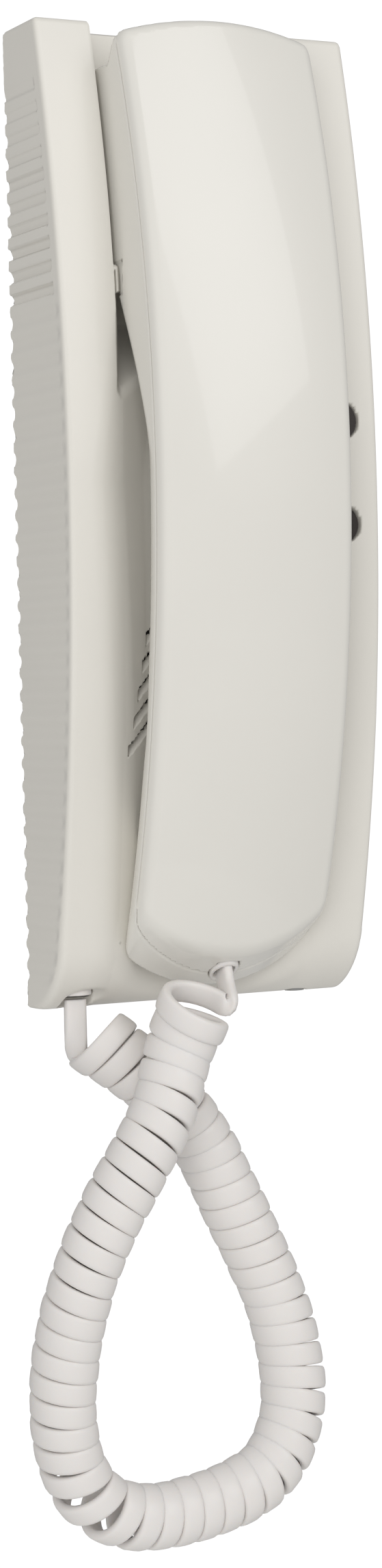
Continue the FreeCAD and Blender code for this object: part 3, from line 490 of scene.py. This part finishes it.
def ear_holes(x, depth, rise):
    """One hole in the middle and six in a ring round it."""
    away = np.hypot(x, rise - EAR_RISE)
    for number in range(6):
        angle = math.radians(60 * number)
        there = np.hypot(x - 4.6 * math.cos(angle), rise - EAR_RISE - 4.6 * math.sin(angle))
        away = np.minimum(away, there)
    return np.maximum(away - 1.1, depth - 12.5)


def handset_shell(x, depth, rise):
    """The handset's wall, before it is parted at the seam."""
    filled = handset_all(x, depth, rise)
    return less(filled, filled + HANDSET_WALL)


def handset_cord_way(x, depth, rise):
    """The hole for the cord, half in each shell."""
    return np.maximum(np.hypot(x, depth - HANDSET_CORD) - 3.3, rise - 14.0)


def handset_front(x, depth, rise):
    """The shell in front of the seam."""
    ahead = bow(depth, rise, *SEAM_BOW)
    shape = meet(handset_shell(x, depth, rise), SEAM_GAP - ahead, 0.2)
    return less(shape, handset_cord_way(x, depth, rise), 0.2)


def handset_back(x, depth, rise):
    """The shell behind the seam, with its notches, screws, ear and mouth holes."""
    ahead = bow(depth, rise, *SEAM_BOW)
    shape = meet(handset_shell(x, depth, rise), ahead + SEAM_GAP, 0.2)
    notch = np.maximum(22.4 - np.abs(x), np.abs(rise - 154.6) - 3.5)
    shape = less(shape, np.maximum(notch, depth - 27.0), 0.3)
    shape = less(shape, ear_holes(x, depth, rise), 0.25)
    for rise0, back in ((48.0, 25.0), (144.0, 26.5)):
        away = np.hypot(x, rise - rise0)
        shape = less(shape, np.maximum(away - 2.9, depth - 4.0 - back), 0.25)
    for x0 in (-3.2, 0.0, 3.2):
        mouth = np.maximum(np.hypot(x - x0, rise - 24.0) - 0.9, depth - 20.0)
        shape = less(shape, mouth, 0.2)
    return less(shape, handset_cord_way(x, depth, rise), 0.2)


def handset_collar(x, depth, rise):
    """The sleeve round the cord, trimmed just proud of the chin."""
    away = np.hypot(x, depth - HANDSET_CORD)
    ring = np.maximum(away - 3.2, 2.35 - away)
    trimmed = np.maximum(chin(x, depth, rise) - 0.5, rise - 14.4)
    return meet(ring, trimmed, 0.3)


def base_collar(x, depth, rise):
    """The sleeve round the cord inside the base's foot."""
    away = np.hypot(x - BASE_CORD[0], depth - BASE_CORD[1])
    ring = np.maximum(away - 3.6, 2.35 - away)
    return meet(ring, np.maximum(3.0 - rise, rise - 6.8), 0.3)


def slot_shade_sheet_field(x, depth, rise):
    """A black sheet behind the slots, put there as painted shade for the dark inside of the slots."""
    within = trough_air(x, depth, rise)
    edge = np.maximum(np.abs(x) - 23.4, np.abs(rise - 75.5) - 23.0)
    return np.maximum(np.maximum(2.1 - within, within - 2.8), edge)


# the second axis of each grid counts from the bowed face
coarse = 1.0
base_axes = (
    ruled(-38.2, 38.2, 0.72 * coarse, [(-23.2, -9.4), (9.4, 23.2)], 0.40 * coarse),
    ruled(-29.9, 0.9, 0.64 * coarse),
    ruled(-1.2, 211.2, 0.66 * coarse, [(52.0, 92.0)], 0.40 * coarse),
)
solid("base_cover_moulding", base_field, base_axes, BASE_BOW, "base", "base_white", ["base_cover"])
across = ruled(-24.6, 24.6, 0.62 * coarse)
upward = ruled(3.0, 211.0, 0.75 * coarse)
solid("handset_front_moulding", handset_front, (across, ruled(-0.91, 7.0, 0.6 * coarse), upward), SEAM_BOW,
      "handset", "handset_white", ["handset_front_shell"])
solid("handset_back_moulding", handset_back, (across, ruled(-33.2, 0.7, 0.6 * coarse), upward), SEAM_BOW,
      "handset", "handset_white", ["handset_back_shell"])
# painted shade: a black sheet behind the slots makes their insides read dark
solid("slot_shade_sheet", slot_shade_sheet_field,
      (ruled(-24.0, 24.0, 0.9), ruled(-16.0, 2.0, 0.5), ruled(52.0, 99.0, 1.1)), BASE_BOW,
      "base", "speaker_paper", [])
solid("handset_cord_collar", handset_collar,
      (ruled(-4.2, 4.2, 0.4), ruled(-8.0, 8.0, 0.4), ruled(4.0, 15.2, 0.4)), SEAM_BOW,
      "handset", "cord_white", ["handset_cord_grommet"])
solid("base_cord_collar", base_collar,
      (ruled(-33.6, -25.4, 0.4), ruled(-22.0, 0.0, 0.4), ruled(2.4, 7.6, 0.4)), BASE_BOW,
      "base", "cord_white", ["base_cord_grommet"])


# ---------------------------------------------------------------------------------------------
# Cord: a flat ribbon wound into a left-handed coil along one smooth route
# ---------------------------------------------------------------------------------------------

COIL_ROUTE = [
    spot(-10.2, 29.0, 1.6), spot(-11.4, 27.0, -2.6), spot(-14.2, 26, -9.5), spot(-18, 28, -20.5),
    spot(-24, 28, -30), spot(-31, 26, -42), spot(-36, 24, -54), spot(-39, 21, -68),
    spot(-40, 19.5, -81), spot(-39, 18.5, -91), spot(-36, 18, -100), spot(-29.5, 18, -107),
    spot(-20, 18, -110), spot(-9, 18, -109.5), spot(2, 18, -107.5), spot(10.5, 18, -103.5),
    spot(16, 17, -95.5), spot(18, 16, -85.5), spot(16, 14, -69.5), spot(10.5, 13, -56),
    spot(4, 11.5, -41.5), spot(-1, 11, -30.5), spot(-8, 12.2, -22), spot(-16, 12, -14.2),
    spot(-24.0, 8.2, -7.4),
]
COIL_START = np.array([0.95, 0.31, 0.0])  # the side of the first turn that the handset's lead joins
TURNS = 54.0
OPEN_AT = 0.425  # share of the coil's length at which the turns stand open
COIL_RADIUS = 6.0 * MM
RIBBON_WIDE = 4.9 * MM
RIBBON_THICK = 2.4 * MM
STEPS = 26  # rings of the mesh in each turn
RIBBON_SIDES = 16


def nurbs_points(name, route, resolution=24):
    """Points along a route's smooth NURBS line."""
    curve = bpy.data.curves.new(name, "CURVE")
    curve.dimensions = "3D"
    curve.resolution_u = resolution
    spline = curve.splines.new("NURBS")
    spline.points.add(len(route) - 1)
    for point, at in zip(spline.points, route):
        point.co = (*at, 1.0)
    spline.order_u = 3
    spline.use_endpoint_u = True
    holder = bpy.data.objects.new(name, curve)
    bpy.context.scene.collection.objects.link(holder)
    bpy.context.view_layer.update()
    mesh = bpy.data.meshes.new_from_object(holder)
    points = np.array([v.co for v in mesh.vertices])
    bpy.data.objects.remove(holder)
    bpy.data.meshes.remove(mesh)
    return points


def resample(points, count):
    """The same line as that many evenly spaced points."""
    gaps = np.linalg.norm(np.diff(points, axis=0), axis=1)
    along = np.concatenate([[0], np.cumsum(gaps)])
    at = np.linspace(0, along[-1], count)
    return np.stack([np.interp(at, along, points[:, i]) for i in range(3)], 1)


def frames_along(points):
    """Two crosswise directions, carried along the line without twist."""
    heading = np.gradient(points, axis=0)
    heading /= np.linalg.norm(heading, axis=1)[:, None]
    across = np.cross(heading[0], [0.0, 1.0, 0.0])
    across /= np.linalg.norm(across)
    firsts = [across]
    for here in heading[1:]:
        across = across - here * across.dot(here)
        across /= np.linalg.norm(across)
        firsts.append(across)
    firsts = np.array(firsts)
    return firsts, np.cross(heading, firsts)


def smoothstep(value):
    """0 to 1 with a soft start and end."""
    value = np.clip(value, 0, 1)
    return value * value * (3 - 2 * value)


def cord_line():
    """The coiled ribbon's centre line, and the way its flat side faces at each point."""
    axis_points = resample(nurbs_points("coil_axis", COIL_ROUTE), int(TURNS * STEPS) + 1)
    first, second = frames_along(axis_points)
    share = np.linspace(0, 1, len(axis_points))
    first_angle = math.atan2(COIL_START.dot(second[0]), COIL_START.dot(first[0]))
    # turns stand further apart where the loop bends sharply at the lower left
    closeness = 1.0 - 0.36 * np.exp(-((share - OPEN_AT) / 0.028) ** 2)
    counted = np.cumsum(closeness) - closeness[0]
    turn = first_angle - counted / counted[-1] * TURNS * 2 * np.pi
    out = first * np.cos(turn)[:, None] + second * np.sin(turn)[:, None]
    # loose turns at the handset's end, and a little unevenness from being handled
    loose = 1.0 + 0.20 * np.exp(-((share * TURNS) / 1.6) ** 2)
    loose = loose + 0.16 * np.exp(-(((1 - share) * TURNS) / 1.2) ** 2)
    uneven = 1.0 + 0.012 * np.sin(share * TURNS * 0.9) + 0.010 * np.sin(share * TURNS * 2.3 + 1.0)
    centre = axis_points + out * (COIL_RADIUS * loose * uneven)[:, None]
    return centre, out


def lead_to(coil_end, coil_before, exit_points):
    """A lead: from the coil's end, leaving along its run, to the exit points."""
    leave = coil_end - coil_before
    leave = leave / np.linalg.norm(leave)
    reach = np.linalg.norm(np.array(exit_points[0]) - coil_end) * 0.45
    route = [Vector(coil_end), Vector(coil_end + leave * reach)] + [Vector(p) for p in exit_points]
    return resample(nurbs_points("lead", route, 16), 60)[1:]


def build_cord():
    """The whole cord from the handset to the base: its mesh piece, centre line and length."""
    centre, out = cord_line()
    start_lead = lead_to(centre[0], centre[1], [spot(-0.2, 22.2, 4.6), spot(0.0, HANDSET_CORD, 8.5)])[::-1]
    end_lead = lead_to(centre[-1], centre[-2], [spot(-29.6, 8.4, -6.0), spot(*BASE_CORD, 2.0)])
    line = np.concatenate([start_lead, centre, end_lead])
    # the flat side faces out of the coil, and turns to face the front in the leads
    outward = np.concatenate([
        np.repeat(out[:1], len(start_lead), 0), out, np.repeat(out[-1:], len(end_lead), 0)])
    front = np.array([0.0, -1.0, 0.0])
    blend_in = smoothstep(1 - np.arange(len(start_lead)) / (len(start_lead) * 0.8))
    blend_out = smoothstep(np.arange(len(end_lead)) / (len(end_lead) * 0.8))
    weights = np.concatenate([blend_in, np.zeros(len(centre)), blend_out])[:, None]
    side_on = np.array([1.0, 0.0, 0.0])
    goal = np.concatenate([np.repeat([side_on], len(start_lead) + len(centre) // 2, 0),
                           np.repeat([front], len(line) - len(start_lead) - len(centre) // 2, 0)])
    outward = outward * (1 - weights) + goal * weights
    run = np.gradient(line, axis=0)
    run /= np.linalg.norm(run, axis=1)[:, None]
    outward -= run * (outward * run).sum(1)[:, None]
    outward /= np.linalg.norm(outward, axis=1)[:, None]
    width = np.cross(run, outward)
    return ribbon(line, outward, width)


def ribbon(line, outward, width):
    """A flat cord with rounded edges swept along a line."""
    outline = []
    sides = RIBBON_SIDES
    power = 0.55  # below 1, the outline is squarer than an ellipse
    for number in range(sides):
        angle = 2 * math.pi * number / sides
        c, s = math.cos(angle), math.sin(angle)
        outline.append((math.copysign(abs(c) ** power, c) * RIBBON_WIDE / 2,
                        math.copysign(abs(s) ** power, s) * RIBBON_THICK / 2))
    rings = [line + width * a + outward * b for a, b in outline]
    points = np.stack(rings, 1).reshape(-1, 3)
    faces = []
    for row in range(len(line) - 1):
        for number in range(sides):
            a = row * sides + number
            b = row * sides + (number + 1) % sides
            faces.append((a, a + sides, b + sides, b))
    faces.append(tuple(range(sides)))
    last = (len(line) - 1) * sides
    faces.append(tuple(last + sides - 1 - number for number in range(sides)))
    mesh = bpy.data.meshes.new("curly_cord_ribbon")
    mesh.from_pydata(points.tolist(), [], faces)
    mesh.polygons.foreach_set("use_smooth", [True] * len(faces))
    mesh.materials.append(FINISH["cord_white"])
    piece = bpy.data.objects.new("curly_cord_ribbon", mesh)
    bpy.context.scene.collection.objects.link(piece)
    length = float(np.linalg.norm(np.diff(line, axis=0), axis=1).sum())
    return piece, line, length


cord, cord_path, cord_length = build_cord()
print("cord length", round(cord_length, 3))
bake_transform(cord)
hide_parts("curly_cord", "base_cord_lead")


# ---------------------------------------------------------------------------------------------
# Stage, light and camera
# ---------------------------------------------------------------------------------------------

FLOOR = -0.45
FLOOR_RADIUS = 0.6
FLOOR_SIDES = 96
CAMERA_SPOT = (-299.35, -602.37, 69.16 - MID)  # millimetres in the row frame
LENS = 46.4792


def camera():
    """The main view: from the left, and tipped a little down and round."""
    turn, drop, roll = math.radians(26.727), math.radians(1.879), math.radians(-1.405)
    ahead = Vector((math.sin(turn) * math.cos(drop), math.cos(turn) * math.cos(drop), -math.sin(drop)))
    right = ahead.cross(Vector((0, 0, 1))).normalized()
    up = right.cross(ahead)
    rolled_right = right * math.cos(roll) + up * math.sin(roll)
    rolled_up = up * math.cos(roll) - right * math.sin(roll)
    data = bpy.data.cameras.new("camera")
    data.sensor_fit = "VERTICAL"
    data.sensor_height = 24.0
    data.lens = LENS
    data.clip_start = 0.01
    seen = bpy.data.objects.new("camera", data)
    bpy.context.scene.collection.objects.link(seen)
    basis = Matrix((rolled_right, rolled_up, -ahead)).transposed().to_4x4()
    basis.translation = Vector(CAMERA_SPOT) * MM
    seen.matrix_world = basis
    bpy.context.scene.camera = seen


def lamp(name, at, towards, size, size_y, power):
    """A rectangular lamp aimed at a point."""
    data = bpy.data.lights.new(name, "AREA")
    data.shape = "RECTANGLE"
    data.size = size
    data.size_y = size_y
    data.energy = power
    thing = bpy.data.objects.new(name, data)
    bpy.context.scene.collection.objects.link(thing)
    thing.location = at
    thing.rotation_euler = (Vector(towards) - Vector(at)).to_track_quat("-Z", "Y").to_euler()
    return thing


def stage():
    """A pale round floor well below the cord, out of the main view."""
    pale = material("floor_white", (0.9, 0.9, 0.89), 0.9, 0.0)
    shader = pale.node_tree.nodes["Principled BSDF"]
    shader.inputs["Emission Color"].default_value = (1, 1, 1, 1)
    shader.inputs["Emission Strength"].default_value = 0.06
    angles = [math.tau * number / FLOOR_SIDES for number in range(FLOOR_SIDES)]
    rim = [(FLOOR_RADIUS * math.cos(angle), FLOOR_RADIUS * math.sin(angle), FLOOR) for angle in angles]
    mesh = bpy.data.meshes.new("floor")
    mesh.from_pydata(rim, [], [tuple(range(FLOOR_SIDES))])
    mesh.materials.append(pale)
    floor = bpy.data.objects.new("floor", mesh)
    bpy.context.scene.collection.objects.link(floor)


def light():
    """A white surround that is seen brighter than it lights, a broad softbox and a fill lamp."""
    world = bpy.data.worlds.new("studio")
    world.use_nodes = True
    nodes, links = world.node_tree.nodes, world.node_tree.links
    seen = nodes["Background"]
    seen.inputs["Color"].default_value = (1, 1, 1, 1)
    seen.inputs["Strength"].default_value = 1.05
    fill = nodes.new("ShaderNodeBackground")
    fill.inputs["Color"].default_value = (1.0, 0.995, 0.99, 1)
    fill.inputs["Strength"].default_value = 0.42
    path = nodes.new("ShaderNodeLightPath")
    mix = nodes.new("ShaderNodeMixShader")
    links.new(path.outputs["Is Camera Ray"], mix.inputs["Fac"])
    links.new(fill.outputs["Background"], mix.inputs[1])
    links.new(seen.outputs["Background"], mix.inputs[2])
    links.new(mix.outputs["Shader"], nodes["World Output"].inputs["Surface"])
    bpy.context.scene.world = world
    bpy.context.scene.view_settings.view_transform = "Standard"
    softbox = lamp("softbox", (0.33, -0.86, 0.52), (0, 0, 0.04), 0.62, 0.85, power=2.6)
    softbox.rotation_euler.rotate_axis("Z", math.radians(18))
    side_lamp = lamp("fill", (-0.68, -0.99, 0.16), (0, 0, -0.03), 0.7, 0.9, power=5.9)
    side_lamp.visible_glossy = False


camera()
stage()
light()
